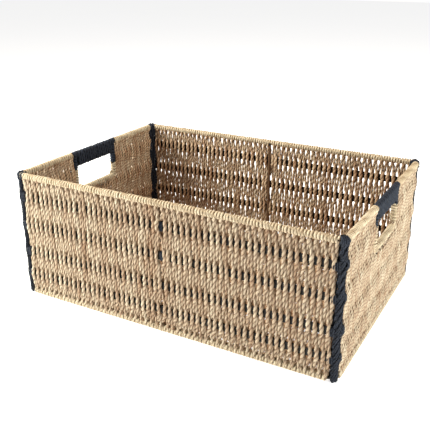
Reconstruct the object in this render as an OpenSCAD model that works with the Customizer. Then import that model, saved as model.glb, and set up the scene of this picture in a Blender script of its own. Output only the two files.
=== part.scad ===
// Rectangular storage basket: five welded wire panels, each woven with twisted
// seagrass cord, laced together at the corners with navy cord, with a wrapped
// hand grip in each short end. Origin: bottom centre. +X: length, +Y: width, +Z: up.

/* [Basket] */
// Length over the end panels
basket_l = 400; // [320:1:520]
// Width over the long panels
basket_w = 280; // [230:1:400]
// Height from the floor to the top of the rim
basket_h = 155; // [128:1:240]

/* [Metal] */
// Diameter of the perimeter, grip and opening wires
frame_d = 2.8; // [2.2:0.1:3.6]
// Centre-line radius of the frame corners
frame_bend_r = 6; // [5:0.5:9]
// Height of a flat cross strip
strip_h = 8.4; // [6:0.1:10.2]
// Thickness of a flat cross strip
strip_t = 1.2; // [0.8:0.1:2]
// Diameter of the centre upright rod
upright_d = 2.6; // [2:0.1:3]

/* [Cord] */
// Diameter of the woven seagrass cord
cord_d = 3.6; // [3:0.1:4.5]
// Thickness of the navy lacing on the corner wires
lace_t = 1.3; // [0.8:0.1:2.4]
// Thickness of the sleeve on a centre upright
sleeve_t = 0.6; // [0.4:0.1:1]
// Width of a centre tie
tie_w = 5.4; // [4:0.1:8]
// Thickness of a centre tie
tie_t = 1.3; // [0.8:0.1:1.6]

/* [Rows] */
// Depth of the upper row of strips below the rim
upper_row_drop = 29.5; // [26:0.5:32]
// Height of the lower row of strips above the floor
lower_row_rise = 27; // [20:0.5:30]
// Clearance between the hand opening's winding and the second row
row_gap = 1.9; // [1:0.1:5]

/* [Handle] */
// Distance between the two legs of a handle, centre to centre
handle_w = 78; // [70:1:110]
// Distance between the rim wire and the grip wire
grip_gap = 13; // [10:0.5:14]
// Depth of the hand opening's lower edge below the rim
opening_drop = 49; // [46:0.5:50]
// Length of navy wrap on each leg, measured from the rim
leg_wrap_drop = 25; // [22:0.5:38]
// Centre-line radius of the opening wire's two bends
opening_bend_r = 7; // [6:0.5:10]

/* [Fits] */
// Clearance between neighbouring panels' wires and between bindings
gap = 0.2; // [0.1:0.05:0.4]
// Depth that a woven field seats around a round binding
seat = 1; // [0.6:0.1:1.5]

/* [Hidden] */
$fn = 48;
FRONT = 0;
RIGHT = 1;
BACK = 2;
LEFT = 3;

panel_t = strip_t + 2 * cord_d;
roll_r = panel_t / 2;
lace_r = frame_d / 2 + lace_t;
// Step between the wires that meet at a corner, rounded up to a tenth
corner_step = ceil(10 * (frame_d + gap) / sqrt(2)) / 10;
upright_inset = roll_r + corner_step;
column_inset = upright_inset + lace_r;
upright_shift = frame_d / 2 + upright_d / 2;
sleeve_r = upright_d / 2 + sleeve_t;
base_shift = frame_d + gap;
upright_z = roll_r + frame_d / 2;
base_inset = roll_r + base_shift;
binding_end = max(column_inset + base_shift, base_inset + frame_bend_r);
bar_drop = roll_r + grip_gap;
opening_z = basket_h - opening_drop - roll_r;
leg_wrap_z = basket_h - leg_wrap_drop;
past = 1;

// Heights of the four rows of strips: the second clears the hand opening, and the
// third lies a share of the way from the second down to the lowest
second_row_z = opening_z - roll_r - row_gap - strip_h / 2;
third_row_share = 0.54;
rows = [
    basket_h - upper_row_drop,
    second_row_z,
    second_row_z - third_row_share * (second_row_z - lower_row_rise),
    lower_row_rise
];
tie_rows = [0, 1];
// Number of cross strips in the base
base_strips = 6;

function panel_l(side) = side % 2 == 0 ? basket_l : basket_w;
function panel_reach(side) = (side % 2 == 0 ? basket_w : basket_l) / 2 - roll_r;
function base_strip_place(i) = (basket_w - 2 * base_inset) * ((i + 1) / (base_strips + 1) - 0.5);

// Sets a panel drawn along X, with its outer face towards -Y, on one side
module on_side(side) {
    rotate([0, 0, 90 * side])
        translate([0, -panel_reach(side), 0])
            children();
}

// Round bar of radius r between two points on one axis line
module bar_x(x0, x1, y, z, r) {
    translate([x0, y, z])
        rotate([0, 90, 0])
            cylinder(h = x1 - x0, r = r);
}

module bar_z(x, y, z0, z1, r) {
    translate([x, y, z0])
        cylinder(h = z1 - z0, r = r);
}

// Quarter bend in the XZ plane about a centre, on the side given by the two signs
module bend_xz(x, z, bend, side_x, side_z, r) {
    translate([x, 0, z])
        mirror([min(side_x, 0), 0, 0])
            mirror([0, 0, min(side_z, 0)])
                rotate([90, 0, 0])
                    rotate_extrude(angle = 90)
                        translate([bend, 0])
                            circle(r = r);
}

// Closed rectangular loop in the XZ plane, centred on X = 0
module loop(half_w, z0, z1, bend, r) {
    bar_x(-half_w + bend, half_w - bend, 0, z0, r);
    bar_x(-half_w + bend, half_w - bend, 0, z1, r);
    bar_z(-half_w, 0, z0 + bend, z1 - bend, r);
    bar_z(half_w, 0, z0 + bend, z1 - bend, r);
    for (s = [-1, 1]) {
        bend_xz(s * (half_w - bend), z0 + bend, bend, s, -1, r);
        bend_xz(s * (half_w - bend), z1 - bend, bend, s, 1, r);
    }
}

// Perimeter wire of a side panel, in the panel's own frame
module panel_loop(side, r = frame_d / 2) {
    loop(panel_l(side) / 2 - upright_inset, roll_r, basket_h - roll_r, frame_bend_r, r);
}

// Perimeter wire of the base, drawn flat
module base_loop(r = frame_d / 2) {
    translate([0, 0, roll_r])
        rotate([-90, 0, 0])
            loop(basket_l / 2 - base_inset, -basket_w / 2 + base_inset,
                 basket_w / 2 - base_inset, frame_bend_r, r);
}

// Opening wire: two legs under the rim wire, joined by a lower bar
module opening_path(r, top_z) {
    half = handle_w / 2;
    for (s = [-1, 1]) {
        bar_z(s * half, 0, opening_z + opening_bend_r, top_z, r);
        bend_xz(s * (half - opening_bend_r), opening_z + opening_bend_r, opening_bend_r, s, -1, r);
    }
    bar_x(-half + opening_bend_r, half - opening_bend_r, 0, opening_z, r);
}

module opening_wire() {
    color("black")
        difference() {
            opening_path(frame_d / 2, basket_h - roll_r);
            bar_x(-handle_w, handle_w, 0, basket_h - roll_r, frame_d / 2);
        }
}

module grip_wire() {
    color("black")
        difference() {
            bar_x(-handle_w / 2, handle_w / 2, 0, basket_h - bar_drop, frame_d / 2);
            opening_path(frame_d / 2, basket_h - roll_r);
        }
}

// Flat strip along X, cut to fit the wires it is welded to
module strip(x0, x1, z) {
    translate([x0, -strip_t / 2, z - strip_h / 2])
        cube([x1 - x0, strip_t, strip_h]);
}

module side_strip(side, row) {
    half = panel_l(side) / 2 - upright_inset;
    color("black")
        difference() {
            strip(-half, half, rows[row]);
            panel_loop(side);
        }
}

// Short strip of an end panel's upper row, on one side of the hand opening
module stub_strip(side, s) {
    half = panel_l(side) / 2 - upright_inset;
    leg = handle_w / 2;
    color("black")
        difference() {
            strip(s > 0 ? leg : -half, s > 0 ? half : -leg, rows[0]);
            panel_loop(side);
            opening_path(frame_d / 2, basket_h - roll_r);
        }
}

// Room for the two short strips where they run into the wrapped legs
module stub_slots() {
    strip(-handle_w, -handle_w / 2, rows[0]);
    strip(handle_w / 2, handle_w, rows[0]);
}

// Flat strip of the base, along X; places are spread evenly over the width
module base_strip(i) {
    half = basket_l / 2 - base_inset;
    color("black")
        difference() {
            translate([-half, base_strip_place(i) - strip_h / 2, roll_r - strip_t / 2])
                cube([2 * half, strip_h, strip_t]);
            base_loop();
        }
}

// Centre upright: a thin rod on the inner face of the strips
module centre_upright() {
    color("black")
        bar_z(0, upright_shift, upright_z, basket_h - roll_r, upright_d / 2);
}

module sleeve_body(r) {
    bar_z(0, upright_shift, panel_t + gap, basket_h - panel_t - gap, r);
}

module upright_sleeve() {
    color("peru")
        difference() {
            sleeve_body(sleeve_r);
            bar_z(0, upright_shift, 0, basket_h, upright_d / 2);
            for (z = rows)
                strip(-strip_h, strip_h, z);
        }
}

// Block of cord tied round a strip where the upright crosses it; its inner side is tucked
// behind the upright's sleeve
module tie_block(row) {
    depth = upright_shift + strip_t / 2 + tie_t;
    tall = strip_h + 2 * tie_t;
    translate([-tie_w / 2, -strip_t / 2 - tie_t, rows[row] - tall / 2])
        cube([tie_w, depth, tall]);
}

module centre_ties() {
    color("midnightblue")
        for (row = tie_rows)
            difference() {
                tie_block(row);
                strip(-strip_h, strip_h, rows[row]);
                sleeve_body(sleeve_r);
            }
}

// Metal inside a side panel, used to cut the cord around it
module panel_metal(side) {
    half = panel_l(side) / 2 - upright_inset;
    panel_loop(side);
    for (z = rows)
        strip(-half, half, z);
}

// Outer shape of the cord round the bottom wire and the base wire beside it
module base_roll(half) {
    bar_x(-half, half, 0, roll_r, roll_r);
    bar_x(-half, half, base_shift, roll_r, roll_r);
    translate([-half, 0, 0])
        cube([2 * half, base_shift, panel_t]);
}

// Woven field of a long panel
module long_weave(side) {
    half = panel_l(side) / 2 - column_inset - gap;
    z0 = panel_t - seat;
    color("burlywood")
        difference() {
            translate([-half, -roll_r, z0])
                cube([2 * half, panel_t, basket_h - 2 * z0]);
            bar_x(-half - past, half + past, 0, basket_h - roll_r, roll_r);
            base_roll(half + past);
            panel_metal(side);
            bar_z(0, upright_shift, 0, basket_h, upright_d / 2);
            sleeve_body(sleeve_r);
            for (row = tie_rows)
                tie_block(row);
        }
}

// Woven field of an end panel, open where the handle is
module end_weave(side) {
    half = panel_l(side) / 2 - column_inset - gap;
    z0 = panel_t - seat;
    open_half = handle_w / 2 + roll_r - seat;
    open_z = opening_z - roll_r + seat;
    color("burlywood")
        difference() {
            translate([-half, -roll_r, z0])
                cube([2 * half, panel_t, basket_h - 2 * z0]);
            translate([-open_half, -panel_t, open_z])
                cube([2 * open_half, 2 * panel_t, basket_h]);
            bar_x(-half - past, half + past, 0, basket_h - roll_r, roll_r);
            base_roll(half + past);
            opening_path(roll_r, basket_h);
            panel_metal(side);
        }
}

// Woven field of the base
module base_weave() {
    half_l = basket_l / 2 - base_inset - roll_r + seat;
    half_w = basket_w / 2 - base_inset - roll_r + seat;
    color("burlywood")
        difference() {
            translate([-half_l, -half_w, 0])
                cube([2 * half_l, 2 * half_w, panel_t]);
            for (side = [FRONT : LEFT])
                rotate([0, 0, 90 * side])
                    bar_x(-basket_l, basket_l, -panel_reach(side) + base_shift, roll_r, roll_r);
            for (i = [0 : base_strips - 1])
                translate([-basket_l / 2, base_strip_place(i) - strip_h / 2, roll_r - strip_t / 2])
                    cube([basket_l, strip_h, strip_t]);
        }
}

// Cord wound round the rim wire of a panel
module rim_binding(side) {
    half = panel_l(side) / 2 - column_inset - gap;
    color("wheat")
        difference() {
            bar_x(-half, half, 0, basket_h - roll_r, roll_r);
            panel_loop(side);
            bar_z(0, upright_shift, 0, basket_h - roll_r, upright_d / 2);
        }
}

// Rim cord of an end panel: one length on each side of the handle
module end_rim_binding(side) {
    half = panel_l(side) / 2 - column_inset - gap;
    inner = handle_w / 2 + roll_r;
    color("wheat")
        difference() {
            for (s = [-1, 1])
                translate([s * (half + inner) / 2, 0, 0])
                    bar_x(-(half - inner) / 2, (half - inner) / 2, 0, basket_h - roll_r, roll_r);
            panel_loop(side);
        }
}

// Cord wound round the bottom wire of a panel and the base wire beside it
module base_binding(side) {
    half = panel_l(side) / 2 - binding_end;
    color("tan")
        difference() {
            base_roll(half);
            panel_loop(side);
            bar_x(-half - past, half + past, base_shift, roll_r, frame_d / 2);
            if (side % 2 == 0)
                bar_z(0, upright_shift, upright_z, panel_t, upright_d / 2);
            else
                for (i = [0 : base_strips - 1])
                    translate([base_strip_place(i) - strip_h / 2, base_shift, roll_r - strip_t / 2])
                        cube([strip_h, panel_t, strip_t]);
        }
}

// Navy cord wound over the rim wire and grip wire, and down the upper legs
module handle_wrap() {
    half = handle_w / 2 + roll_r;
    rim_z = basket_h - roll_r;
    bar_z0 = basket_h - bar_drop;
    color("midnightblue")
        difference() {
            union() {
                bar_x(-half, half, 0, rim_z, roll_r);
                bar_x(-handle_w / 2, handle_w / 2, 0, bar_z0, roll_r);
                translate([-handle_w / 2, -roll_r, bar_z0])
                    cube([handle_w, panel_t, grip_gap]);
                for (s = [-1, 1])
                    bar_z(s * handle_w / 2, 0, leg_wrap_z, rim_z, roll_r);
            }
            bar_x(-half - past, half + past, 0, rim_z, frame_d / 2);
            bar_x(-handle_w / 2, handle_w / 2, 0, bar_z0, frame_d / 2);
            opening_path(frame_d / 2, rim_z);
            stub_slots();
        }
}

// Natural cord wound round the lower legs and the lower bar of the opening
module opening_wrap() {
    color("wheat")
        difference() {
            opening_path(roll_r, leg_wrap_z);
            opening_path(frame_d / 2, basket_h - roll_r);
            stub_slots();
        }
}

// Navy column of lacing round the two frame uprights that meet at a corner
module corner_lacing(sx, sy) {
    a = [basket_l / 2 - upright_inset, basket_w / 2 - roll_r];
    b = [basket_l / 2 - roll_r, basket_w / 2 - upright_inset];
    color("midnightblue")
        scale([sx, sy, 1])
            difference() {
                union() {
                    translate([a[0], a[1], 0])
                        cylinder(h = basket_h, r = lace_r);
                    translate([b[0], b[1], 0])
                        cylinder(h = basket_h, r = lace_r);
                }
                on_side(BACK)
                    panel_metal(BACK);
                on_side(RIGHT)
                    panel_metal(RIGHT);
            }
}

on_side(FRONT) color("black") panel_loop(FRONT);  // front_frame_wire
on_side(RIGHT) color("black") panel_loop(RIGHT);  // right_frame_wire
on_side(BACK) color("black") panel_loop(BACK);  // back_frame_wire
on_side(LEFT) color("black") panel_loop(LEFT);  // left_frame_wire
color("black") base_loop();  // base_frame_wire
for (row = [0 : 3]) {
    on_side(FRONT) side_strip(FRONT, row);
    on_side(BACK) side_strip(BACK, row);
}
for (row = [1 : 3]) {
    on_side(RIGHT) side_strip(RIGHT, row);
    on_side(LEFT) side_strip(LEFT, row);
}
on_side(RIGHT) stub_strip(RIGHT, -1);  // right_strip_1_front
on_side(RIGHT) stub_strip(RIGHT, 1);  // right_strip_1_rear
on_side(LEFT) stub_strip(LEFT, 1);  // left_strip_1_front
on_side(LEFT) stub_strip(LEFT, -1);  // left_strip_1_rear
for (i = [0 : base_strips - 1])
    base_strip(i);
on_side(FRONT) centre_upright();  // front_centre_upright
on_side(BACK) centre_upright();  // back_centre_upright
on_side(FRONT) upright_sleeve();  // front_upright_sleeve
on_side(BACK) upright_sleeve();  // back_upright_sleeve
on_side(FRONT) centre_ties();  // front_centre_ties
on_side(BACK) centre_ties();  // back_centre_ties
on_side(RIGHT) grip_wire();  // right_grip_wire
on_side(LEFT) grip_wire();  // left_grip_wire
on_side(RIGHT) opening_wire();  // right_opening_wire
on_side(LEFT) opening_wire();  // left_opening_wire
on_side(FRONT) long_weave(FRONT);  // front_weave
on_side(RIGHT) end_weave(RIGHT);  // right_weave
on_side(BACK) long_weave(BACK);  // back_weave
on_side(LEFT) end_weave(LEFT);  // left_weave
base_weave();
on_side(FRONT) rim_binding(FRONT);  // front_rim_binding
on_side(RIGHT) end_rim_binding(RIGHT);  // right_rim_binding
on_side(BACK) rim_binding(BACK);  // back_rim_binding
on_side(LEFT) end_rim_binding(LEFT);  // left_rim_binding
on_side(FRONT) base_binding(FRONT);  // front_base_binding
on_side(RIGHT) base_binding(RIGHT);  // right_base_binding
on_side(BACK) base_binding(BACK);  // back_base_binding
on_side(LEFT) base_binding(LEFT);  // left_base_binding
on_side(RIGHT) handle_wrap();  // right_handle_wrap
on_side(LEFT) handle_wrap();  // left_handle_wrap
on_side(RIGHT) opening_wrap();  // right_opening_wrap
on_side(LEFT) opening_wrap();  // left_opening_wrap
corner_lacing(-1, -1);  // front_left_lacing
corner_lacing(1, -1);  // front_right_lacing
corner_lacing(1, 1);  // back_right_lacing
corner_lacing(-1, 1);  // back_left_lacing
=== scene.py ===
import math

import bpy
import numpy as np
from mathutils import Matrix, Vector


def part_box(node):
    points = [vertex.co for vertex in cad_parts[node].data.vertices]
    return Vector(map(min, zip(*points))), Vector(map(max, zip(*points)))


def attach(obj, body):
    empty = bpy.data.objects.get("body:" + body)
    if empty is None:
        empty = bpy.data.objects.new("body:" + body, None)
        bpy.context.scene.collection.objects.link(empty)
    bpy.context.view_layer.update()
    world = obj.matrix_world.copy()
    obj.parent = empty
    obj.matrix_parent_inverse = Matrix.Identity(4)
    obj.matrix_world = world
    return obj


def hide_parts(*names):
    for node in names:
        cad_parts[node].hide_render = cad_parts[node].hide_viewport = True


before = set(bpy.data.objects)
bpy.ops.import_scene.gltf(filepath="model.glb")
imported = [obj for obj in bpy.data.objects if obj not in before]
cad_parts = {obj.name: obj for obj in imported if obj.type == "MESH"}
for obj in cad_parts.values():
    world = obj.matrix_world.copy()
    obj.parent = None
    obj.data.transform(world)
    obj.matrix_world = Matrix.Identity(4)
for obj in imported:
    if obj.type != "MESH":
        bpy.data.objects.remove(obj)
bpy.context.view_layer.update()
mm = 0.001


# The lowest and the highest corner of a node, as arrays.
def nodeBox(name):
    low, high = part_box(name)
    return np.array(low), np.array(high)


# A panel's own axes and sizes, from its nodes' boxes. along runs to the right as seen from
# outside, outward points away from the basket, and run is the direction that the cords take
# from the bottom wire to the rim. A wire's middle lies half its thickness inside its box.
def sidePanel(side, quarterTurns):
    angle = quarterTurns * math.pi / 2
    along = np.array([round(math.cos(angle)), round(math.sin(angle)), 0.0])
    outward = np.array([along[1], -along[0], 0.0])
    low, high = nodeBox(side + "_frame_wire")
    wire = np.min(high - low) / 2
    middle = (low + high) / 2
    size = (high - low) / 2
    weaveLow, weaveHigh = nodeBox(side + "_weave")
    weaveSize = weaveHigh - weaveLow
    strips = sorted(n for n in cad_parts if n.startswith(side + "_strip_"))
    boxes = [nodeBox(n) for n in strips]
    rows = sorted({round((lo[2] + hi[2]) / 2, 6) for lo, hi in boxes})
    return {
        "side": side,
        "along": along,
        "outward": outward,
        "run": np.array([0.0, 0.0, 1.0]),
        "origin": outward * abs(middle @ outward),
        "wire": wire,                           # half its thickness
        "half": abs(weaveSize @ along) / 2,     # half the length that is woven
        "upright": abs(size @ along) - wire,    # from the panel's middle to a corner wire
        "bottom": low[2] + wire,
        "top": high[2] - wire,
        "rows": rows,                           # heights of the strips
        "stripTall": boxes[0][1][2] - boxes[0][0][2],
        "stripThick": np.min(boxes[0][1] - boxes[0][0]),
        "roll": weaveSize @ np.abs(outward) / 2,    # radius of the wound rim
    }


sides = ["front", "right", "back", "left"]
panels = {side: sidePanel(side, turn) for turn, side in enumerate(sides)}


# A point from a place along the panel, a depth outwards and a height.
def onPanel(panel, place, depth, height):
    place, depth, height = np.broadcast_arrays(place, depth, height)
    return (panel["origin"] + place[..., None] * panel["along"]
            + depth[..., None] * panel["outward"] + height[..., None] * panel["run"])


# A colour as a screen shows it, each part to the power 2.2 as a socket takes it.
def display(red, green, blue):
    return tuple((c / 255) ** 2.2 for c in (red, green, blue)) + (1.0,)


print("frame read:", len(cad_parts), "nodes")


# A mesh of four-sided faces with a UV corner for each face corner and a tint for each point.
def quadMesh(name, points, quads, uv, tint, materials):
    mesh = bpy.data.meshes.new(name)
    mesh.vertices.add(len(points))
    mesh.vertices.foreach_set("co", points.astype(np.float32).ravel())
    mesh.loops.add(quads.size)
    mesh.loops.foreach_set("vertex_index", quads.astype(np.int32).ravel())
    mesh.polygons.add(len(quads))
    mesh.polygons.foreach_set("loop_start", np.arange(0, quads.size, 4, dtype=np.int32))
    mesh.polygons.foreach_set("use_smooth", np.ones(len(quads), bool))
    layer = mesh.uv_layers.new(name="cord")
    layer.data.foreach_set("uv", uv.astype(np.float32).ravel())
    attribute = mesh.attributes.new("tint", "FLOAT", "POINT")
    attribute.data.foreach_set("value", tint.astype(np.float32))
    mesh.update(calc_edges=True)
    mesh.validate()
    for material in materials:
        mesh.materials.append(material)
    piece = bpy.data.objects.new(name, mesh)
    bpy.context.scene.collection.objects.link(piece)
    return piece


# A bundle of cords, each a lobed outline carried along its own centre line. paths is cords x
# rings x 3. A point of the outline stands at radius * (1 - lobe * sin^2 angle) from the line,
# and the outline turns once for every lay of cord, which twists the plies round each other.
# normals point away from what the cord lies on. flat scales the outline that way, and widen
# scales it sideways.
def cordBundle(paths, radius, normals, sides=8, lobe=0.26, lay=11 * mm, flat=1.0, phase=0.0,
               tint=0.5, lengthShift=0.0, widen=1.0):
    cords, rings, _ = paths.shape
    tangent = np.gradient(paths, axis=1)
    tangent /= np.linalg.norm(tangent, axis=2, keepdims=True)
    normal = np.broadcast_to(normals, paths.shape)
    normal = normal - np.sum(normal * tangent, axis=2, keepdims=True) * tangent
    normal = normal / np.linalg.norm(normal, axis=2, keepdims=True)
    across = np.cross(tangent, normal)
    step = np.linalg.norm(np.diff(paths, axis=1), axis=2)
    length = np.concatenate([np.zeros((cords, 1)), np.cumsum(step, axis=1)], axis=1)
    turn = 2 * np.pi * length / lay + np.reshape(phase, (-1, 1))
    angle = np.linspace(0, 2 * np.pi, sides, endpoint=False)
    reach = 1 - lobe * np.sin(angle) ** 2
    facing = angle + turn[..., None]
    size = np.broadcast_to(np.asarray(radius), (cords, rings))[..., None] * reach
    thick = size * np.cos(facing) * np.broadcast_to(flat, (cords, rings))[..., None]
    wide = size * np.sin(facing) * np.broadcast_to(widen, (cords, rings))[..., None]
    points = (paths[:, :, None, :] + thick[..., None] * normal[:, :, None, :]
              + wide[..., None] * across[:, :, None, :])
    index = np.arange(cords * rings * sides).reshape(cords, rings, sides)
    around = np.roll(index, -1, axis=2)
    walls = np.stack([index[:, :-1], around[:, :-1], around[:, 1:], index[:, 1:]], axis=-1)
    share = np.arange(sides + 1) / sides
    u = np.stack([share[:-1], share[1:], share[1:], share[:-1]], axis=-1)
    u = np.broadcast_to(u, walls.shape)
    along = length + np.reshape(lengthShift, (-1, 1))
    v = np.stack([along[:, :-1], along[:, :-1], along[:, 1:], along[:, 1:]], axis=-1)
    v = np.broadcast_to(v[:, :, None, :], walls.shape)
    rung = np.arange(sides // 2 - 1)
    cap = np.stack([rung, rung + 1, sides - 2 - rung, sides - 1 - rung], axis=-1)
    startCaps = index[:, 0][:, cap[:, ::-1]].reshape(-1, 4)
    endCaps = index[:, -1][:, cap].reshape(-1, 4)
    capUv = np.zeros((len(startCaps) + len(endCaps), 4, 2))
    capUv[..., 0] = 0.25    # a cord's end gets the full painted groove shade
    wallUv = np.stack([u, v], axis=-1).reshape(-1, 4, 2)
    tints = np.broadcast_to(np.reshape(tint, (-1, 1, 1)), (cords, rings, sides))
    return {
        "points": points.reshape(-1, 3),
        "quads": np.concatenate([walls.reshape(-1, 4), startCaps, endCaps]),
        "uv": np.concatenate([wallUv, capUv]),
        "tint": tints.reshape(-1),
    }


# Several bundles as one mesh, with each one's faces counted on from the last one's points.
def joinBundles(name, bundles, material):
    starts = np.cumsum([0] + [len(b["points"]) for b in bundles[:-1]])
    piece = quadMesh(
        name,
        np.concatenate([b["points"] for b in bundles]),
        np.concatenate([b["quads"] + s for b, s in zip(bundles, starts)]),
        np.concatenate([b["uv"] for b in bundles]),
        np.concatenate([b["tint"] for b in bundles]),
        [material],
    )
    print("  ", name, len(piece.data.polygons) * 2, "triangles")
    return piece


# Every piece belongs to the basket's one body and stands in for the nodes it covers.
def place(piece, slot, *nodes):
    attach(piece, "root")
    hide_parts(*nodes)


# A socket to do sums with: each operator adds one Math node.
class Wire:
    def __init__(self, shader, socket):
        self.shader = shader
        self.socket = socket

    def math(self, operation, first, second=0.0, clamp=False):
        settings = {"operation": operation, "use_clamp": clamp}
        return self.shader.node("Math", settings, {0: first, 1: second})

    def __add__(self, other):
        return self.math("ADD", self, other)

    def __radd__(self, other):
        return self.math("ADD", other, self)

    def __sub__(self, other):
        return self.math("SUBTRACT", self, other)

    def __rsub__(self, other):
        return self.math("SUBTRACT", other, self)

    def __mul__(self, other):
        return self.math("MULTIPLY", self, other)

    def __rmul__(self, other):
        return self.math("MULTIPLY", other, self)

    def __pow__(self, other):
        return self.math("POWER", self, other)

    def cosine(self):
        return self.math("COSINE", self)

    def sine(self):
        return self.math("SINE", self)

    def size(self):
        return self.math("ABSOLUTE", self)

    def clipped(self):
        return self.math("ADD", self, 0.0, clamp=True)


# The nodes of one material or of the world.
class Shader:
    def __init__(self, owner):
        self.owner = owner
        owner.use_nodes = True
        self.tree = owner.node_tree
        self.tree.nodes.clear()

    # any node: its type, its settings, what its sockets get, and the output that is wanted
    def node(self, kind, settings=None, values=None, output=0):
        made = self.tree.nodes.new("ShaderNode" + kind)
        for key, value in (settings or {}).items():
            setattr(made, key, value)
        for key, value in (values or {}).items():
            if isinstance(value, Wire):
                self.tree.links.new(value.socket, made.inputs[key])
            else:
                made.inputs[key].default_value = value
        return Wire(self, made.outputs[output])

    # first * (1 - share) + second * share, for colours
    def mixColour(self, share, first, second):
        return self.node("Mix", {"data_type": "RGBA"}, {0: share, 6: first, 7: second}, output=2)

    def end(self, kind, surface):
        out = self.tree.nodes.new("ShaderNodeOutput" + kind)
        self.tree.links.new(surface.socket, out.inputs["Surface"])
        return self.owner

    def finish(self, values):
        return self.end("Material", self.node("BsdfPrincipled", {}, values))


# How far inside the panels' middle planes a point lies: 0 on a plane and outside it, rising
# evenly to 1 at the given depth, for the end panels times the same for the long panels. It is
# the mask of the painted shade inside the basket.
def paintedShadeShare(shader, depth):
    spot = shader.node("TexCoord", {}, {}, "Object")
    x = shader.node("SeparateXYZ", {}, {0: spot})
    y = Wire(shader, x.socket.node.outputs[1])
    endPlane = float(np.linalg.norm(panels["right"]["origin"]))
    longPlane = float(np.linalg.norm(panels["front"]["origin"]))
    return (((endPlane - x.size()) * (1 / depth)).clipped()
            * ((longPlane - y.size()) * (1 / depth)).clipped())


# Twisted plant cord. u goes round the cord and v along it in metres. Fibres are noise drawn
# out along the cord, and the two grooves between the plies lie where cos u is near nothing;
# there the colour is darkened as painted shade. The two spreads set cords of a different tint
# far apart in the noise.
def cordMaterial(name, look):
    shader = Shader(bpy.data.materials.new(name))
    uv = shader.node("UVMap", {"uv_map": "cord"})
    u = shader.node("SeparateXYZ", {}, {0: uv})
    v = Wire(shader, u.socket.node.outputs[1])
    tint = shader.node("Attribute", {"attribute_name": "tint"}, {}, "Fac")
    fibreSpread = 37.0
    patchSpread = 91.0
    around = u * (2 * math.pi)
    spot = shader.node("CombineXYZ", {}, {0: around.cosine() * look["around"],
                                          1: around.sine() * look["around"],
                                          2: v * look["along"] + tint * fibreSpread})
    fibre = shader.node("TexNoise", {}, {"Vector": spot, "Scale": 1.0, "Detail": 3.0,
                                         "Roughness": 0.6}, "Fac")
    slow = shader.node("CombineXYZ", {}, {0: tint * patchSpread, 1: v * look["slow"], 2: 0.0})
    patch = shader.node("TexNoise", {}, {"Vector": slow, "Scale": 1.0, "Detail": 2.0}, "Fac")
    plies = around.cosine().size()
    valley = (1.0 - plies) ** look["grooveSharp"]
    share = (fibre * look["fibreShare"] + patch * look["patchShare"]
             + tint * look["tintShare"] + look["shift"]).clipped()
    colour = shader.mixColour(share, look["dark"], look["light"])
    # painted shade: cords inside the basket get browner colours that stand in for the shade there
    if look["inside"]:
        brown = shader.mixColour(share, look["inside"]["dark"], look["inside"]["light"])
        colour = shader.mixColour(paintedShadeShare(shader, look["inside"]["depth"]), colour, brown)
    # painted shade: the colour darkens towards the groove colour in the grooves between the plies
    # and on the cords' ends
    colour = shader.mixColour((valley * look["grooveShade"]).clipped(), colour, look["paintedGrooveShade"])
    height = fibre * look["fibreHeight"] + (1.0 - valley) * (1 - look["fibreHeight"])
    bump = shader.node("Bump", {}, {"Height": height, "Strength": look["bump"],
                                    "Distance": look["bumpDepth"]})
    return shader.finish({
        "Base Color": colour,
        "Roughness": fibre * look["roughShare"] + look["roughness"],
        "Specular IOR Level": look["specular"],
        "Normal": bump,
    })


# inside: painted shade, the browner colours painted on the cords inside the basket where shade
# falls, and the depth where they are full.
wovenLook = {
    "dark": display(150, 113, 83),
    "light": display(227, 213, 186),
    # painted shade for the grooves between the plies
    "paintedGrooveShade": display(88, 52, 32),
    "inside": {"dark": display(152, 108, 76), "light": display(230, 203, 168), "depth": 2.5 * mm},
    "around": 2.2,          # fibres in the cord's round
    "along": 170.0,         # fibre marks in a metre of cord
    "slow": 45.0,           # pale and dark patches in a metre of cord
    "fibreShare": 0.9,
    "patchShare": 0.8,
    "tintShare": 0.35,
    "shift": -0.55,         # lower is darker
    "grooveSharp": 1.6,
    "grooveShade": 0.9,
    "fibreHeight": 0.35,
    "bump": 0.8,
    "bumpDepth": 0.35 * mm,
    "roughness": 0.68,
    "roughShare": 0.2,
    "specular": 0.25,
}
boundLook = dict(wovenLook, dark=display(170, 142, 106), light=display(236, 222, 194),
                 paintedGrooveShade=display(102, 74, 48), inside=None)
navyLook = dict(boundLook, dark=display(10, 12, 18), light=display(46, 52, 66),
                paintedGrooveShade=display(2, 2, 4), shift=-0.35, grooveShade=0.8, roughness=0.6,
                specular=0.35)
weaveCord = cordMaterial("woven_seagrass", wovenLook)
bindingCord = cordMaterial("wound_seagrass", boundLook)
navyCord = cordMaterial("navy_cord", navyLook)


steelLook = {"clean": display(5, 5, 6), "dusty": display(22, 20, 19), "grain": 900.0,
             "dust": 60.0, "bump": 0.25, "bumpDepth": 0.1 * mm, "roughness": 0.4,
             "specular": 0.3}
paperLook = {"dark": display(74, 52, 36), "light": display(112, 84, 60), "fibre": 500.0,
             "stain": 70.0, "bump": 0.5, "bumpDepth": 0.2 * mm, "roughness": 0.78,
             "specular": 0.2}


# Painted round wire and strip: satin black with a fine grain, and dust where the slow noise
# passes a limit.
def metalMaterial(look):
    shader = Shader(bpy.data.materials.new("black_coated_steel"))
    spot = shader.node("TexCoord", {}, {}, "Object")
    grain = shader.node("TexNoise", {}, {"Vector": spot, "Scale": look["grain"], "Detail": 2.0},
                        "Fac")
    dust = shader.node("TexNoise", {}, {"Vector": spot, "Scale": look["dust"], "Detail": 4.0},
                       "Fac")
    colour = shader.mixColour((dust * 1.6 - 0.6).clipped(), look["clean"], look["dusty"])
    bump = shader.node("Bump", {}, {"Height": grain, "Strength": look["bump"],
                                    "Distance": look["bumpDepth"]})
    return shader.finish({
        "Base Color": colour,
        "Roughness": dust * 0.25 + look["roughness"],
        "Specular IOR Level": look["specular"],
        "Normal": bump,
    })


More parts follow.
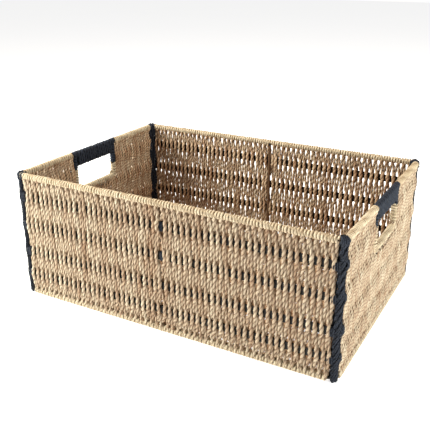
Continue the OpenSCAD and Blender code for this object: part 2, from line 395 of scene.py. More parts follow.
# Paper wound on the centre uprights: matte brown, with a mix of fine fibres and wide stains.
def paperMaterial(look):
    shader = Shader(bpy.data.materials.new("brown_paper_sleeve"))
    spot = shader.node("TexCoord", {}, {}, "Object")
    fibre = shader.node("TexNoise", {}, {"Vector": spot, "Scale": look["fibre"], "Detail": 4.0},
                        "Fac")
    stain = shader.node("TexNoise", {}, {"Vector": spot, "Scale": look["stain"], "Detail": 3.0},
                        "Fac")
    share = (fibre * 0.7 + stain * 0.9 - 0.3).clipped()
    bump = shader.node("Bump", {}, {"Height": fibre, "Strength": look["bump"],
                                    "Distance": look["bumpDepth"]})
    return shader.finish({
        "Base Color": shader.mixColour(share, look["dark"], look["light"]),
        "Roughness": fibre * 0.15 + look["roughness"],
        "Specular IOR Level": look["specular"],
        "Normal": bump,
    })


blackSteel = metalMaterial(steelLook)
brownPaper = paperMaterial(paperLook)
for name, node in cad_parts.items():
    if name.endswith("_wire") or "_strip_" in name or name.endswith("_upright"):
        node.data.materials.clear()
        node.data.materials.append(blackSteel)
print("materials made")


weave = {
    "ringStep": 1.5 * mm,     # length of a cord's faces
    "baseRingStep": 2.4 * mm,
    "wireHold": 1.0 * mm,     # how far past a rim's roll a cord keeps its place
    "stripHold": 0.6 * mm,    # how far past a strip's edge a cord keeps its place
    "wireDepth": 1.5 * mm,    # how far to one side of a wire's middle a cord passes it
    "wireLean": 0.84,         # how much of their lean the pairs have at a wire
    "wander": 0.32 * mm,      # how far a pair strays along its strip
    "apart": 0.15 * mm,       # how far the two cords of a pair stray from each other
    "drift": 1.0 * mm,        # how far up or down a cord changes sides
    "driftMost": 4.0 * mm,
    "ripple": 0.2 * mm,       # waves along each cord
    "pace": (160, 420),       # the waves' turn in a metre of cord, from and to
    "thick": (0.93, 1.07),    # a cord's radius as a share of its kind's, from and to
    "swell": 0.07,            # how much a cord thickens and thins along its length
    "swellPace": 1.7,         # its waves for each wave of the ripple
    "fade": 2.2,              # how fast a cord drops back to the middle beside a strip
}
# spacing: from one cord to the next where they lie side by side. lean: 1 pairs each cord with
# a neighbour at every row, and 0 lets it run straight. crossing: how far from half way between
# two strips, as a share, the pairs have begun to form and are full. pinch and spread: how wide
# a cord is for its thickness where they lie side by side, and over a strip.
longWeave = {"spacing": 3.5 * mm, "radius": 1.92 * mm, "lean": 1.0, "crossing": (0.22, 0.98),
             "pinch": 1.0, "spread": 1.28, "flatten": 0.12, "lay": 14 * mm, "lobe": 0.2}
endWeave = {"spacing": 2.7 * mm, "radius": 2.05 * mm, "lean": 1.0, "crossing": (0.1, 0.95),
            "pinch": 0.8, "spread": 1.1, "flatten": 0.16, "lay": 8.5 * mm, "lobe": 0.2}
baseWeave = dict(longWeave, lean=0.6)


# One plain-woven set of cords. Cord number j lies outside the strip of row k when j + k is
# even, and inside it otherwise, and crosses the middle plane half way between rows, its depth
# falling off as the distance from there to the power fade. At each row it leans half a spacing
# to one neighbour and at the next row to the other. It moves over by 3 x^2 - 2 x^3 on both
# sides of the half way, where all lie side by side. The two wires count as rows. indexes are
# the numbers of these cords out of total, and stations the heights of the bottom wire, the
# strips and the top wire.
def wovenCords(panel, kind, indexes, total, stations, ringStep, rng, strayTable, parting=None,
               keepOut=None):
    count = len(indexes)
    centre = (total - 1) / 2
    pitch = kind["pitch"]
    depthOut = panel["stripThick"] / 2 + kind["radius"] * (1 - kind["flatten"])
    last = len(stations) - 1
    places = np.zeros((len(stations), count))
    depths = np.zeros((len(stations), count))
    holds = np.zeros(len(stations))
    for k in range(len(stations)):
        row = k - 1
        even = (indexes + row) % 2 == 0
        pair = (indexes + row % 2) // 2
        partner = indexes + np.where(even, 1, -1)
        onWire = k in (0, last)
        leanHere = kind["lean"] / 2 * (weave["wireLean"] if onWire else 1)
        lean = np.where((partner < 0) | (partner >= total), 0, leanHere)
        places[k] = (indexes - centre + np.where(even, lean, -lean)) * pitch + strayTable[row, pair]
        places[k] += rng.normal(0, weave["apart"], count)
        depths[k] = np.where(even, 1, -1) * (weave["wireDepth"] if onWire else depthOut)
        if onWire:
            holds[k] = panel["roll"] + weave["wireHold"]
        else:
            holds[k] = panel["stripTall"] / 2 + weave["stripHold"]
    rings = int(round((stations[-1] - stations[0]) / ringStep)) + 1
    height = np.linspace(stations[0], stations[-1], rings)
    level = np.clip(np.searchsorted(stations, height, side="right") - 1, 0, last - 1)
    low = np.asarray(stations)[level] + holds[level]
    high = np.asarray(stations)[level + 1] - holds[level + 1]
    shift = rng.normal(0, weave["drift"], (count, len(stations)))[:, level]
    shift = np.clip(shift, -weave["driftMost"], weave["driftMost"])
    share = np.clip((height + shift - low) / (high - low), 0, 1)
    swing = 2 * share - 1
    begin, full = kind["crossing"]
    beside = np.clip((np.abs(swing) - begin) / (full - begin), 0, 1)
    beside = 0.5 + 0.5 * np.sign(swing) * beside ** 2 * (3 - 2 * beside)
    through = 0.5 + 0.5 * np.sign(swing) * np.abs(swing) ** weave["fade"]
    placeNow = places.T[:, level] * (1 - beside) + places.T[:, level + 1] * beside
    depthNow = depths.T[:, level] * (1 - through) + depths.T[:, level + 1] * through
    over = np.clip(np.abs(depthNow) / depthOut, 0, 1)
    waves = rng.uniform(0, 2 * np.pi, (2, count, 1))
    pace = rng.uniform(*weave["pace"], (2, count, 1))
    placeNow = placeNow + weave["ripple"] * np.sin(height * pace[0] + waves[0])
    depthNow = depthNow + weave["ripple"] * np.sin(height * pace[1] + waves[1])
    if parting is not None:
        placeNow = parting(placeNow, depthNow, height)
    if keepOut is not None:
        placeNow = keepOut(placeNow, height)
    size = kind["radius"] * rng.uniform(*weave["thick"], (count, 1))
    size = size * (1 + weave["swell"] * np.sin(height * pace[1] * weave["swellPace"] + waves[0]))
    wide = kind["pinch"] + (kind["spread"] - kind["pinch"]) * over
    paths = onPanel(panel, placeNow, depthNow, np.broadcast_to(height, placeNow.shape))
    return cordBundle(paths, size, panel["outward"], lay=kind["lay"], lobe=kind["lobe"],
                      widen=wide, flat=1 - kind["flatten"] * over,
                      phase=rng.uniform(0, 2 * np.pi, count), tint=rng.uniform(0, 1, count),
                      lengthShift=rng.uniform(0, 1, count))


# How far each pair strays at each station, normally distributed: stations x pairs.
def strays(rng, stations, count):
    return rng.normal(0, weave["wander"], (stations, count // 2 + 2))


# The number of cords that fill a width, and the spacing that makes them fit it.
def fitCords(kind, width):
    count = int(round(width / kind["spacing"]))
    return count, dict(kind, pitch=width / count)


parting = {
    "outside": 1.0 * mm,   # how far the cords part round a centre upright, seen from outside
    "inside": 1.5 * mm,
    "tie": 2.3 * mm,       # how much further they part at a tie
    "reach": 5.0 * mm,     # how far along the panel the cords still move aside
    "tieReach": 7.0 * mm,  # how far above and below a tie
    "turn": 0.7 * mm,      # width in which the direction of moving aside turns round
    "through": 4.0 * mm,   # depth from outside to inside
}


# The cords move aside along the panel, by an amount that falls off as a bell curve.
def partRoundUpright(ties):
    def moved(places, depths, height):
        inwards = np.clip(0.5 - depths / parting["through"], 0, 1)
        gap = parting["outside"] + (parting["inside"] - parting["outside"]) * inwards
        for tie in ties:
            near = np.exp(-((height - tie) / parting["tieReach"]) ** 2)
            gap = gap + parting["tie"] * near
        bell = np.exp(-(places / parting["reach"]) ** 2)
        return places + np.tanh(places / parting["turn"]) * gap * bell
    return moved


# The heights of the rows that a panel's ties cover.
def tieHeights(side):
    low, high = nodeBox(side + "_centre_ties")
    rows = np.array(panels[side]["rows"])
    return [z for z in rows if low[2] < z < high[2]]


for seed, side in enumerate(["front", "back"]):
    panel = panels[side]
    rng = np.random.default_rng(10 + seed)
    count, kind = fitCords(longWeave, 2 * panel["half"])
    stations = [panel["bottom"], *panel["rows"], panel["top"]]
    bundle = wovenCords(panel, kind, np.arange(count), count, stations, weave["ringStep"], rng,
                        strays(rng, len(stations), count),
                        parting=partRoundUpright(tieHeights(side)))
    piece = joinBundles(side + "_woven_panel", [bundle], weaveCord)
    place(piece, "seagrass_weave", side + "_weave")

opening = {
    "edge": 0.4,            # room between the opening's winding and a cord, in radii
    "legShare": 0.5,        # cords nearer than this share of the roll end below the leg
    "under": 6.0 * mm,      # cords this far inside the legs end at the sill
    "bend": 8.0 * mm,       # height below the sill in which the outer cords move aside
    "past": 7.0 * mm,       # how far above the sill the cords below a leg end
}
for seed, side in enumerate(["right", "left"]):
    panel = panels[side]
    rng = np.random.default_rng(20 + seed)
    count, kind = fitCords(endWeave, 2 * panel["half"])
    openLow, openHigh = nodeBox(side + "_opening_wire")
    leg = (openHigh - openLow)[1] / 2 - panel["wire"]
    sill = openLow[2] + panel["wire"]
    edge = leg + panel["roll"] + opening["edge"] * kind["radius"]
    indexes = np.arange(count)
    places = (indexes - (count - 1) / 2) * kind["pitch"]
    rows = panel["rows"]
    toRim = [panel["bottom"], *rows, panel["top"]]
    toSill = [panel["bottom"], *rows[:-1], sill]
    toLeg = [panel["bottom"], *rows[:-1], sill + opening["past"]]
    table = strays(rng, len(toRim), count)
    full = indexes[np.abs(places) > leg + opening["legShare"] * panel["roll"]]
    under = indexes[np.abs(places) < leg - opening["under"]]
    below = np.setdiff1d(np.setdiff1d(indexes, full), under)

    # above the sill no cord lies nearer the middle than the edge, eased in over the bend
    def besideLeg(placeNow, height):
        risen = np.clip((height - sill + opening["bend"]) / opening["bend"], 0, 1)
        return np.sign(placeNow) * np.maximum(np.abs(placeNow), edge * risen)

    bundles = [
        wovenCords(panel, kind, full, count, toRim, weave["ringStep"], rng, table,
                   keepOut=besideLeg),
        wovenCords(panel, kind, under, count, toSill, weave["ringStep"], rng, table),
        wovenCords(panel, kind, below, count, toLeg, weave["ringStep"], rng, table),
    ]
    piece = joinBundles(side + "_woven_panel", bundles, weaveCord)
    place(piece, "seagrass_weave", side + "_weave")

# the base, woven the short way across its strips
baseLow, baseHigh = nodeBox("base_frame_wire")
baseWire = (baseHigh[2] - baseLow[2]) / 2
stripBoxes = [nodeBox(f"base_strip_{i}") for i in range(1, 7)]
weaveLow, weaveHigh = nodeBox("base_weave")
basePanel = {
    "along": np.array([1.0, 0.0, 0.0]),
    "outward": np.array([0.0, 0.0, -1.0]),
    "run": np.array([0.0, 1.0, 0.0]),
    "origin": np.array([0.0, 0.0, (baseLow[2] + baseHigh[2]) / 2]),
    "stripThick": stripBoxes[0][1][2] - stripBoxes[0][0][2],
    "stripTall": stripBoxes[0][1][1] - stripBoxes[0][0][1],
    "roll": (weaveHigh[2] - weaveLow[2]) / 2,
}
rng = np.random.default_rng(30)
count, kind = fitCords(baseWeave, weaveHigh[0] - weaveLow[0])
stations = [baseLow[1] + baseWire, *[(lo[1] + hi[1]) / 2 for lo, hi in stripBoxes],
            baseHigh[1] - baseWire]
bundle = wovenCords(basePanel, kind, np.arange(count), count, stations, weave["baseRingStep"],
                    rng, strays(rng, len(stations), count))
piece = joinBundles("base_woven_panel", [bundle], weaveCord)
place(piece, "seagrass_weave", "base_weave")
print("panels woven")


# A rounded box outline: each corner is a quarter circle about a point that lies its radius in
# from both sides. The points and their outward normals go once round and close, and each
# point has its distance along the outline.
def loopOutline(halfWide, halfTall, corner, bendPoints=9):
    quarter = np.linspace(0, np.pi / 2, bendPoints)
    angle = np.concatenate([quarter + q * np.pi / 2 for q in range(4)])
    signX = np.repeat([1, -1, -1, 1], bendPoints)
    signY = np.repeat([1, 1, -1, -1], bendPoints)
    normal = np.stack([np.cos(angle), np.sin(angle)], axis=1)
    middle = np.stack([signX * (halfWide - corner), signY * (halfTall - corner)], axis=1)
    points = middle + corner * normal
    points = np.concatenate([points, points[:1]])
    normal = np.concatenate([normal, normal[:1]])
    step = np.linalg.norm(np.diff(points, axis=0), axis=1)
    length = np.concatenate([[0], np.cumsum(step)])
    return points, normal, length


turnSwell = 0.05    # how much a wound cord thickens and thins from turn to turn


# A cord wound round a route. route is a line of points with a constant second direction, up;
# the outline stands across it, with its wide way along side = up x tangent and its tall way
# along up. The cord moves one pitch along the route for each time round, and unruly is how far
# a turn strays from its place. spread gives what is added to the outline's distance at a
# share of the route.
def woundCord(route, up, outline, pitch, radius, ringStep=1.3 * mm, start=0.0, rng=None,
              unruly=0.0, spread=None, **cordFacts):
    points, normals, around = outline
    step = np.linalg.norm(np.diff(route, axis=0), axis=1)
    length = np.concatenate([[0], np.cumsum(step)])
    turns = length[-1] / pitch
    rings = int(turns * around[-1] / ringStep) + 2
    turn = np.linspace(0, turns, rings)
    where = turn * pitch
    if unruly:
        wobble = rng.normal(0, 1, int(turns) + 3)
        where = where + unruly * np.interp(turn, np.arange(len(wobble)), wobble)
        where = np.clip(where, 0, length[-1])
    axis = np.stack([np.interp(where, length, route[:, i]) for i in range(3)], axis=1)
    tangents = np.gradient(route, length, axis=0)
    tangent = np.stack([np.interp(where, length, tangents[:, i]) for i in range(3)], axis=1)
    tangent /= np.linalg.norm(tangent, axis=1, keepdims=True)
    side = np.cross(up, tangent)
    side /= np.linalg.norm(side, axis=1, keepdims=True)
    share = ((turn + start) % 1) * around[-1]
    offset = np.stack([np.interp(share, around, points[:, i]) for i in range(2)], axis=1)
    normal = np.stack([np.interp(share, around, normals[:, i]) for i in range(2)], axis=1)
    if spread is not None:
        offset = offset + normal * spread(where / length[-1])[:, None]
    path = axis + offset[:, :1] * side + offset[:, 1:] * up
    facing = normal[:, :1] * side + normal[:, 1:] * up
    if unruly:
        swell = rng.normal(0, 1, int(turns) + 3)
        swell = turnSwell * np.interp(turn, np.arange(len(swell)), swell)
        radius = radius * (1 + swell)[None, :]
    return cordBundle(path[None], radius, facing[None], **cordFacts)


# Points in equal steps along a panel, at one depth and height.
def straightRoute(panel, first, last, depth, height, step=1 * mm):
    count = max(int(abs(last - first) / step), 2)
    return onPanel(panel, np.linspace(first, last, count), depth, height)


rim = {
    "pitch": 3.2 * mm,
    "cord": 1.8 * mm,
    "unruly": 0.32 * mm,
    "baseUnruly": 0.22 * mm,
    "openingUnruly": 0.2 * mm,
    "baseRingStep": 1.5 * mm,
    "tint": (0.3, 0.8),
    "shape": {"lay": 16 * mm, "lobe": 0.14, "flat": 0.92},
}
for seed, side in enumerate(sides):
    panel = panels[side]
    rng = np.random.default_rng(40 + seed)
    core = panel["roll"] - rim["cord"]
    ring = loopOutline(core, core, core)
    if side in ("front", "back"):
        stretches = [(-panel["half"], panel["half"])]
    else:
        openLow, openHigh = nodeBox(side + "_opening_wire")
        inner = (openHigh - openLow)[1] / 2 - panel["wire"] + panel["roll"]
        stretches = [(-panel["half"], -inner), (inner, panel["half"])]
    bundles = [
        woundCord(straightRoute(panel, first, last, 0, panel["top"]), panel["outward"], ring,
                  rim["pitch"], rim["cord"], rng=rng, unruly=rim["unruly"],
                  tint=rng.uniform(*rim["tint"]), **rim["shape"])
        for first, last in stretches
    ]
    piece = joinBundles(side + "_rim_winding", bundles, bindingCord)
    place(piece, "seagrass_binding", side + "_rim_binding")

for seed, side in enumerate(sides):
    panel = panels[side]
    rng = np.random.default_rng(50 + seed)
    low, high = nodeBox(side + "_base_binding")
    half = abs((high - low) @ panel["along"]) / 2
    deep = (high - low) @ np.abs(panel["outward"])
    core = panel["roll"] - rim["cord"]
    hoop = loopOutline(core, deep / 2 - rim["cord"], core)
    middle = -(deep / 2 - panel["roll"])
    route = straightRoute(panel, -half, half, middle, panel["bottom"])
    bundle = woundCord(route, panel["outward"], hoop, rim["pitch"], rim["cord"], rng=rng,
                       unruly=rim["baseUnruly"], ringStep=rim["baseRingStep"],
                       tint=rng.uniform(*rim["tint"]), **rim["shape"])
    piece = joinBundles(side + "_base_winding", [bundle], bindingCord)
    place(piece, "seagrass_binding", side + "_base_binding")
print("rims and base edges wound")


# The opening wire's route in its panel's plane: down one leg, round a quarter circle, along
# the sill, round another and up the other leg. ends are the heights where the legs end.
def openingRoute(leg, sill, ends, bend, legPoints=12, sillPoints=60):
    arc = np.linspace(0, np.pi / 2, legPoints)
    down, rise = [np.linspace(end, sill + bend, legPoints) for end in ends]
    first = np.stack([np.full(legPoints, -leg), down], axis=1)
    quarter = np.stack([bend - leg - bend * np.cos(arc), sill + bend - bend * np.sin(arc)], axis=1)
    half = np.concatenate([first, quarter[1:]])
    span = np.linspace(half[-1, 0], -half[-1, 0], sillPoints)[1:-1]
    along = np.stack([span, np.full(len(span), sill)], axis=1)
    mirrored = quarter[:0:-1] * np.array([-1, 1])
    last = np.stack([np.full(legPoints, leg), rise[::-1]], axis=1)
    return np.concatenate([half, along, mirrored, last])


grip = {
    "pitch": 4.3 * mm,
    "legPitch": 3.6 * mm,
    "cord": 2.05 * mm,
    "shape": {"lay": 14 * mm, "flat": 0.95},
    "barShort": 3.4 * mm,     # how far from a leg's middle the wide winding ends
    "rimReach": 5.0 * mm,     # how far from there the turns over the rim begin
    "barUnruly": 0.3 * mm,
    "legUnruly": 0.25 * mm,
    "rimUnruly": 0.2 * mm,
    "bend": 7.0 * mm,
    "legPoints": 40,
    # how much further down a leg the navy cord goes, on the ends where it does
    "longer": {("left", -1): 9.5 * mm},
}
for seed, side in enumerate(["right", "left"]):
    panel = panels[side]
    rng = np.random.default_rng(60 + seed)
    openLow, openHigh = nodeBox(side + "_opening_wire")
    leg = (openHigh - openLow)[1] / 2 - panel["wire"]
    sill = openLow[2] + panel["wire"]
    gripLow, gripHigh = nodeBox(side + "_grip_wire")
    gripZ = (gripLow[2] + gripHigh[2]) / 2
    wrapLow, wrapHigh = nodeBox(side + "_handle_wrap")
    wrapEnds = {way: wrapLow[2] - grip["longer"].get((side, way), 0) for way in (-1, 1)}
    core = panel["roll"] - grip["cord"]
    ring = loopOutline(core, core, core)
    between = (panel["top"] - gripZ) / 2
    barOutline = loopOutline(between + core, core, core)
    barEnd = leg - grip["barShort"]
    barRoute = straightRoute(panel, -barEnd, barEnd, 0, panel["top"] - between)
    bundles = [
        woundCord(barRoute, panel["outward"], barOutline, grip["pitch"], grip["cord"], rng=rng,
                  unruly=grip["barUnruly"], tint=0.6, **grip["shape"]),
    ]
    for way in (-1, 1):
        heights = np.linspace(wrapEnds[way], panel["top"], grip["legPoints"])
        legRoute = onPanel(panel, way * leg, 0.0, heights)
        rimRoute = straightRoute(panel, way * (leg - grip["rimReach"]),
                                 way * (leg + panel["roll"]), 0, panel["top"])
        bundles.append(woundCord(legRoute, panel["outward"], ring, grip["legPitch"],
                                 grip["cord"], rng=rng, unruly=grip["legUnruly"], tint=0.5,
                                 **grip["shape"]))
        bundles.append(woundCord(rimRoute, panel["outward"], ring, grip["legPitch"],
                                 grip["cord"], rng=rng, unruly=grip["rimUnruly"], tint=0.45,
                                 **grip["shape"]))
    piece = joinBundles(side + "_grip_winding", bundles, navyCord)
    place(piece, "navy_cord", side + "_handle_wrap")

    line = openingRoute(leg, sill, [wrapEnds[-1], wrapEnds[1]], grip["bend"])
    core = panel["roll"] - rim["cord"]
    ring = loopOutline(core, core, core)
    route = onPanel(panel, line[:, 0], 0.0, line[:, 1])
    bundle = woundCord(route, panel["outward"], ring, rim["pitch"], rim["cord"], rng=rng,
                       unruly=rim["openingUnruly"], tint=0.5, **rim["shape"])
    piece = joinBundles(side + "_opening_winding", [bundle], bindingCord)
    place(piece, "seagrass_binding", side + "_opening_wrap")
print("handles wound")

lacing = {
    "strands": 8,
    "strand": 1.0 * mm,
    "strandShape": {"lay": 9 * mm, "flat": 0.75, "widen": 1.3},
    "strandTint": (0.2, 0.8),
    "columnPoints": 240,
    "pack": 0.7,             # how far outside the wires the strands run, in strands
    "pitch": 38 * mm,        # the height in which a strand goes once round the two wires
    "pitchVary": (0.97, 1.03),
    "foot": 0.5 * mm,        # how far above the floor the strands begin
    "rowSwell": 0.9 * mm,    # how much the lacing stands out at each row of strips
    "rowReach": 6.5 * mm,
    "topSwell": 4.0 * mm,    # how far below its top it stands out too
    "dome": 2.0 * mm,        # the height in which it closes at each end
    "unruly": 0.3 * mm,      # how far the turns of hitches, collars and caps stray
    "hitch": 1.05 * mm,      # cord of the hitches round the ends of the strips
    "hitchTall": (0.6, 1.0),    # its turns' room above and below a strip, in cords
    "hitchDeep": 1.3,           # and outside a wire
    "hitchTint": (0.1, 0.7),
    "hitchShape": {"lay": 8 * mm, "ringStep": 1.1 * mm},
    "hitchLong": 4.6 * mm,
    "hitchPitch": 1.9 * mm,
    "hitchBend": 2.4 * mm,
    "capTall": 10 * mm,      # the turns that go over the rim
    "capPoints": 12,
    "capCord": 1.1,          # their cord, in hitch cords
    "capShape": {"lay": 9 * mm, "ringStep": 1.1 * mm},
    "collarCord": 1.15,
    "collarShape": {"lay": 9 * mm, "ringStep": 1.2 * mm},
    # how far along the rims the collar's turns reach at each corner
    "collar": {"front_left": 2.4 * mm, "front_right": -2.2 * mm, "back_right": 0.4 * mm,
               "back_left": 1.6 * mm},
    "core": 0.5 * mm,        # how much thicker than a wire its plain core is
    "coreLobe": 0.1,
    "coreShort": 1.5 * mm,
    "innerStrands": 5,       # the strands that cover the corner on the inside
    "innerCord": 1.25 * mm,
    "innerLay": 9 * mm,
    "innerTint": (0.1, 0.6),
    "innerPoints": 110,
    "innerHalf": 3.3 * mm,
    "innerDepth": 5.6 * mm,
    "sway": 0.7 * mm,        # their waves to the sides, and how long one is
    "swayLong": 34 * mm,
    "bend": 0.5 * mm,        # their waves in and out
    "bendLong": 17 * mm,
}
corners = {"front_left": ("front", -1, "left", 1), "front_right": ("front", 1, "right", -1),
           "back_right": ("back", -1, "right", 1), "back_left": ("back", 1, "left", -1)}
vertical = np.array([0, 0, 1.0])
for seed, (corner, (longSide, longEnd, endSide, endEnd)) in enumerate(corners.items()):
    rng = np.random.default_rng(70 + seed)
    neighbours = [(panels[longSide], longEnd), (panels[endSide], endEnd)]
    longWire, endWire = [onPanel(p, end * p["upright"], 0.0, 0.0) for p, end in neighbours]
    middle = (longWire + endWire) / 2
    apart = np.linalg.norm(endWire - longWire) / 2
    up = (endWire - longWire) / (2 * apart)
    thick = panels["front"]["wire"] + lacing["strand"] * lacing["pack"]
    outline = loopOutline(thick, apart + thick, thick)
    low, high = nodeBox(corner + "_lacing")
    climb = np.linspace(low[2] + lacing["foot"], high[2], lacing["columnPoints"])
    column = middle + climb[:, None] * vertical
    rows = panels["front"]["rows"]
    swells = [*rows, high[2] - lacing["topSwell"]]

    # a bell curve at each row, less a quarter circle that closes each end
    def figure(share):
        height = low[2] + share * (high[2] - low[2])
        bulge = sum(np.exp(-((height - row) / lacing["rowReach"]) ** 2) for row in swells)
        ends = np.clip(np.minimum(height - low[2], high[2] - height) / lacing["dome"], 0, 1)
        dome = thick * (1 - np.sqrt(1 - (1 - ends) ** 2))
        return lacing["rowSwell"] * bulge - dome

    bundles = [
        woundCord(column, up, outline, lacing["pitch"] * rng.uniform(*lacing["pitchVary"]),
                  lacing["strand"], rng=rng, start=strand / lacing["strands"], spread=figure,
                  tint=rng.uniform(*lacing["strandTint"]), **lacing["strandShape"])
        for strand in range(lacing["strands"])
    ]

    # a plain core round each wire, and the strands that cover the corner on the inside
    heights = np.linspace(low[2] + lacing["coreShort"], high[2] - lacing["coreShort"],
                          lacing["innerPoints"])
    cores = np.stack([onPanel(p, end * p["upright"], 0.0, heights) for p, end in neighbours])
    outwards = (neighbours[0][0]["outward"] + neighbours[1][0]["outward"]) / math.sqrt(2)
    coreSize = panels["front"]["wire"] + lacing["core"]
    bundles.append(cordBundle(cores, coreSize, outwards, lobe=lacing["coreLobe"]))
    offsets = np.linspace(-1, 1, lacing["innerStrands"]) * lacing["innerHalf"]
    cover = (middle - lacing["innerDepth"] * outwards + offsets[:, None, None] * up
             + heights[:, None] * vertical)
    beat = rng.uniform(0, 2 * np.pi, (lacing["innerStrands"], 1))
    sway = lacing["sway"] * np.sin(heights * 2 * np.pi / lacing["swayLong"] + beat)
    bend = lacing["bend"] * np.sin(heights * 2 * np.pi / lacing["bendLong"] + 2 * beat)
    cover = cover + sway[..., None] * up - bend[..., None] * outwards
    bundles.append(cordBundle(cover, lacing["innerCord"], -outwards, lay=lacing["innerLay"],
                              phase=beat[:, 0],
                              tint=rng.uniform(*lacing["innerTint"], lacing["innerStrands"])))

    # hitches round the ends of the strips
    for panel, end in neighbours:
        for row in rows:
            inner = panel["upright"] - panel["wire"] - lacing["hitchLong"]
            route = straightRoute(panel, end * inner, end * panel["upright"], 0.0, row)
            tall = panel["stripTall"] / 2 + lacing["hitch"] * rng.uniform(*lacing["hitchTall"])
            deep = panel["wire"] + lacing["hitch"] * lacing["hitchDeep"]
            loop = loopOutline(tall, deep, lacing["hitchBend"])
            bundles.append(woundCord(route, panel["outward"], loop, lacing["hitchPitch"],
                                     lacing["hitch"], rng=rng, start=rng.uniform(0, 1),
                                     unruly=lacing["unruly"], **lacing["hitchShape"],
                                     tint=rng.uniform(*lacing["hitchTint"])))

    # collars round the ends of the rims, and the turns that go over the top
    for panel, end in neighbours:
        inner = panel["half"] - lacing["collar"][corner]
        route = straightRoute(panel, end * inner, end * panel["upright"], 0.0, panel["top"])
        core = panel["roll"] - lacing["hitch"]
        bundles.append(woundCord(route, panel["outward"], loopOutline(core, core, core),
                                 lacing["hitchPitch"], lacing["hitch"] * lacing["collarCord"],
                                 rng=rng, unruly=lacing["unruly"], tint=0.45,
                                 **lacing["collarShape"]))
    reach = apart + thick
    capRoute = (middle + np.array([0, 0, high[2] - lacing["capTall"] / 2])
                + np.linspace(-reach, reach, lacing["capPoints"])[:, None] * up)
    loop = loopOutline(thick + lacing["core"], lacing["capTall"] / 2 - lacing["hitch"], thick)
    bundles.append(woundCord(capRoute, vertical, loop, lacing["hitchPitch"],
                             lacing["hitch"] * lacing["capCord"], rng=rng,
                             unruly=lacing["unruly"], tint=0.5, **lacing["capShape"]))
    piece = joinBundles(corner + "_laced_corner", bundles, navyCord)
    place(piece, "navy_cord", corner + "_lacing")
print("corners laced")

ties = {"cord": 0.9 * mm, "pitch": 1.5 * mm, "bend": 1.6 * mm,
        "shape": {"unruly": 0.15 * mm, "lay": 5 * mm, "ringStep": 0.8 * mm}}
sleeve = {"shape": {"sides": 16, "lobe": 0.04, "lay": 40 * mm}, "points": 220,
          "dents": [(0.05 * mm, 700.0), (0.08 * mm, 163.0)]}    # how deep, and turn per metre
for seed, side in enumerate(["front", "back"]):
    panel = panels[side]
    rng = np.random.default_rng(80 + seed)
    low, high = nodeBox(side + "_centre_ties")
    wide = (high - low) @ np.abs(panel["along"])
    deep = (high - low) @ np.abs(panel["outward"])
    middle = ((low + high) / 2) @ panel["outward"] - panel["origin"] @ panel["outward"]
    outline = loopOutline(panel["stripTall"] / 2 + ties["cord"], deep / 2 - ties["cord"],
                          ties["bend"])
    reach = wide / 2 - ties["cord"]
    bundles = []
    for height in tieHeights(side):
        route = straightRoute(panel, -reach, reach, middle, height)
        bundles.append(woundCord(route, panel["outward"], outline, ties["pitch"], ties["cord"],
                                 rng=rng, tint=0.6, **ties["shape"]))
    piece = joinBundles(side + "_tied_crossings", bundles, navyCord)
    place(piece, "navy_cord", side + "_centre_ties")

    low, high = nodeBox(side + "_upright_sleeve")
    middle = ((low + high) / 2) @ panel["outward"] - panel["origin"] @ panel["outward"]
    tube = (high - low) @ np.abs(panel["along"]) / 2
    heights = np.linspace(low[2], high[2], sleeve["points"])
    path = onPanel(panel, 0.0, middle, heights)
    (fine, finePace), (coarse, coarsePace) = sleeve["dents"]
    wave = fine * np.sin(heights * finePace) + coarse * np.sin(heights * coarsePace + seed)
    bundle = cordBundle(path[None], (tube + wave)[None], panel["along"], **sleeve["shape"])
    piece = joinBundles(side + "_paper_sleeve", [bundle], brownPaper)
    place(piece, "paper_sleeve", side + "_upright_sleeve")
print("ties and sleeves made")


cameraView = {"place": (0.35076, -0.65401, 0.38306), "turn": 28.99, "tilt": 21.44,
              "lens": 54.54, "sensor": 36.0}
camera = bpy.data.objects.new("camera", bpy.data.cameras.new("camera"))
camera.data.sensor_width = cameraView["sensor"]
camera.data.lens = cameraView["lens"]
camera.location = cameraView["place"]
camera.rotation_euler = (math.radians(90 - cameraView["tilt"]), 0.0,
                         math.radians(cameraView["turn"]))
bpy.context.scene.collection.objects.link(camera)
bpy.context.scene.camera = camera

studioLook = {
    "floorSize": 6.0,
    "floorDark": display(248, 248, 248),
    "floorLight": display(255, 255, 255),
    "floorGlow": 0.74,
    "backdrop": 0.16,     # how much of the white that is seen lights the basket
    "aim": 0.08,          # the height that the lamps point at
}


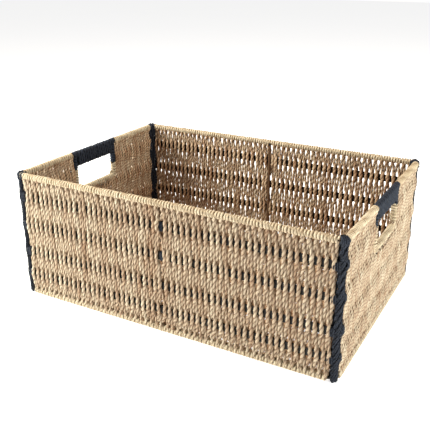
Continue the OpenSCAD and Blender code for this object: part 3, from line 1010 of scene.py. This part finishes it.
# A flat white floor with very faint clouds, which also gives off some light of its own.
def floorMaterial(look):
    shader = Shader(bpy.data.materials.new("pale_floor"))
    spot = shader.node("TexCoord", {}, {}, "Object")
    cloud = shader.node("TexNoise", {}, {"Vector": spot, "Scale": 2.0, "Detail": 2.0}, "Fac")
    colour = shader.mixColour(cloud, look["floorDark"], look["floorLight"])
    return shader.finish({"Base Color": colour, "Roughness": 0.9, "Specular IOR Level": 0.1,
                          "Emission Color": (1.0, 1.0, 1.0, 1.0),
                          "Emission Strength": look["floorGlow"]})


square = np.array([[-1, -1, 0], [1, -1, 0], [1, 1, 0], [-1, 1, 0]]) * studioLook["floorSize"]
floor = quadMesh("floor", square, np.array([[0, 1, 2, 3]]), np.zeros((4, 2)), np.zeros(4),
                 [floorMaterial(studioLook)])

# The backdrop is white to look at and gives the basket only a part of that light.
studio = Shader(bpy.data.worlds.new("studio"))
seen = studio.node("LightPath", {}, {}, "Is Camera Ray")
strength = seen * (1 - studioLook["backdrop"]) + studioLook["backdrop"]
backdrop = studio.node("Background", {}, {"Color": (1.0, 1.0, 1.0, 1.0), "Strength": strength})
bpy.context.scene.world = studio.end("World", backdrop)
bpy.context.scene.view_settings.view_transform = "Standard"

lamps = {
    "key": {"place": (-0.62, -0.4, 0.44), "size": 0.45, "power": 11.4,
            "colour": (0.94, 1.0, 0.96)},
    "side": {"place": (1.5, 0.0, 0.28), "size": 0.5, "power": 20.0,
             "colour": (0.93, 1.0, 0.96)},
    "top": {"place": (-0.1, 0.0, 1.8), "size": 0.8, "power": 26.0,
            "colour": (1.0, 0.86, 0.73)},
}
for name, facts in lamps.items():    # each lamp is turned to face the point aimed at
    light = bpy.data.lights.new(name, "AREA")
    light.size = facts["size"]
    light.energy = facts["power"]
    light.color = facts["colour"]
    lamp = bpy.data.objects.new(name, light)
    lamp.location = facts["place"]
    toward = np.array([0, 0, studioLook["aim"]]) - np.array(facts["place"])
    turn = math.atan2(toward[1], toward[0]) - math.pi / 2
    tilt = math.atan2(math.hypot(toward[0], toward[1]), -toward[2])
    lamp.rotation_euler = (tilt, 0.0, turn)
    bpy.context.scene.collection.objects.link(lamp)
print("camera, floor and light made")
